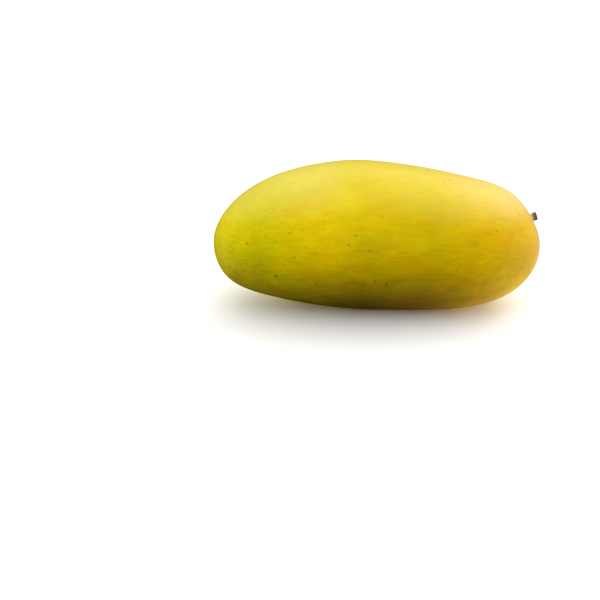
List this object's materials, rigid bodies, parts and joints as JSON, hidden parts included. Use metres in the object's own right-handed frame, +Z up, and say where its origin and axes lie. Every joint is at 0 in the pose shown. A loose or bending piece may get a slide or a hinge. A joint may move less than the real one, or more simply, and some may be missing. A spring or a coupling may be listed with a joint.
{
  "type": "mango",
  "caption": "Ripe slender mango lying on its side, with smooth yellow-green skin and the short brown stub of its stem; it rests on a small flat spot.",
  "frame": {"origin": "middle of the bottom of the bounding box, on the surface it rests on", "axes": "+X along the fruit from its rounded tip to its stem end, +Z up, +Y to the side that its belly is turned to"},
  "size_m": [0.15, 0.07, 0.0648],
  "materials": {
    "skin": "smooth waxy skin, yellow-green at the tip and over the middle, peach-yellow at the stem end, with fine pale and dark specks and faint lengthwise streaks",
    "stem": "dry woody stalk, olive-brown with a dark broken end"
  },
  "bodies": {
    "root": {"fruit": "skin", "stem": "stem"}
  },
  "joints": []
}
